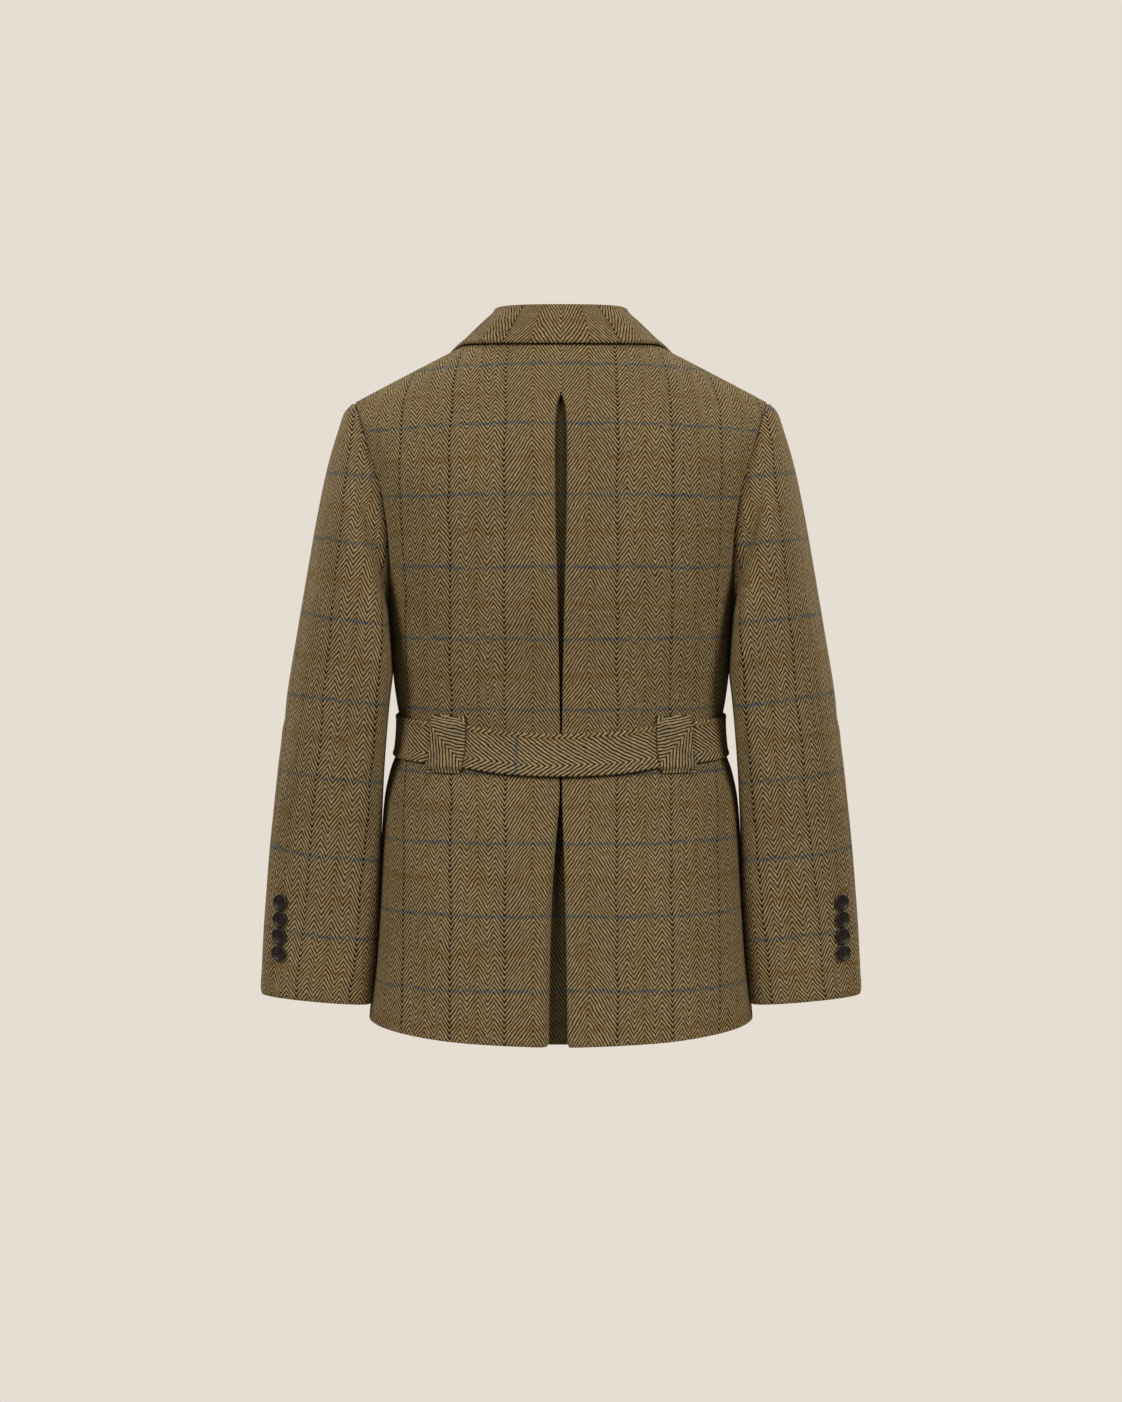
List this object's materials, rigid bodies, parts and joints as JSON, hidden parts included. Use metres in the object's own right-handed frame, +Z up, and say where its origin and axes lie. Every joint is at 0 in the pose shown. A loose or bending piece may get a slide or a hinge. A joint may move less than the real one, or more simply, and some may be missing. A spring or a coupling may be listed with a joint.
{
  "type": "belted jacket",
  "caption": "Hollow belted tweed jacket in its worn shape, with turned-down collar and lapels, a back pleat over a vent, set-in sleeves and buttoned cuffs, for the upper body.",
  "frame": {"origin": "middle of the neck opening, level with the upper ends of the shoulder seams, where it is held", "axes": "+Z up, front towards -Y, the wearer's left towards +X"},
  "size_m": [0.6236, 0.2623, 0.7483],
  "materials": {
    "tweed": "matt woollen herringbone with a fine overcheck",
    "horn": "dark polished horn with a raised rim"
  },
  "bodies": {
    "root": {"pleat_underlay": "tweed", "collar": "tweed", "belt": "tweed", "back_left": "tweed", "front_left": "tweed", "lapel_left": "tweed", "sleeve_left_top": "tweed", "sleeve_left_under": "tweed", "belt_loop_left": "tweed", "back_right": "tweed", "front_right": "tweed", "lapel_right": "tweed", "sleeve_right_top": "tweed", "sleeve_right_under": "tweed", "belt_loop_right": "tweed", "front_button_1": "horn", "front_button_2": "horn", "belt_button": "horn", "cuff_button_left_1": "horn", "cuff_button_left_2": "horn", "cuff_button_left_3": "horn", "cuff_button_left_4": "horn", "cuff_button_right_1": "horn", "cuff_button_right_2": "horn", "cuff_button_right_3": "horn", "cuff_button_right_4": "horn"}
  },
  "joints": []
}
